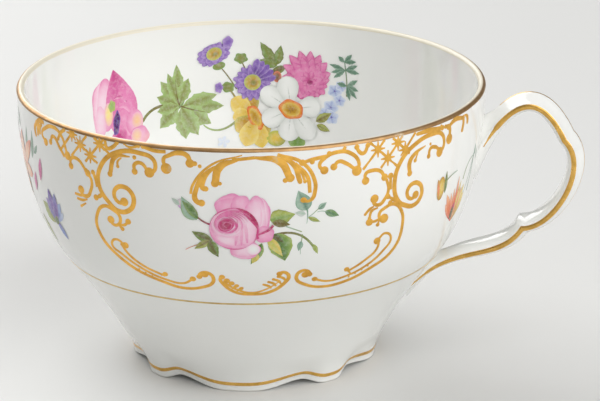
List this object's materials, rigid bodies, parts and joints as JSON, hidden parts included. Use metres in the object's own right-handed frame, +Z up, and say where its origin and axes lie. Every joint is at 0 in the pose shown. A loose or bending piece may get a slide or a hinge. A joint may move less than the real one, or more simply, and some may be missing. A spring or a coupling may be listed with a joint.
{
  "type": "tea cup",
  "caption": "Footed porcelain tea cup with a wide round bowl, a scalloped foot, a broken-scroll handle and gilded lines, for drinking tea.",
  "frame": {"origin": "on the table plane, at the middle of the foot, on the bowl's axis", "axes": "+Z up along the bowl's axis, +X from the axis to the handle, +Y to the left of the handle as seen from it"},
  "size_m": [0.1212, 0.1, 0.061],
  "materials": {
    "porcelain": "clear glossy glaze over white porcelain",
    "gold": "burnished fired gold"
  },
  "bodies": {
    "root": {"bowl": "porcelain", "foot": "porcelain", "handle": "porcelain", "rim_gilding": "gold", "girdle_gilding": "gold", "foot_gilding": "gold", "handle_edge_gilding": "gold", "handle_ridge_gilding": "gold"}
  },
  "joints": []
}
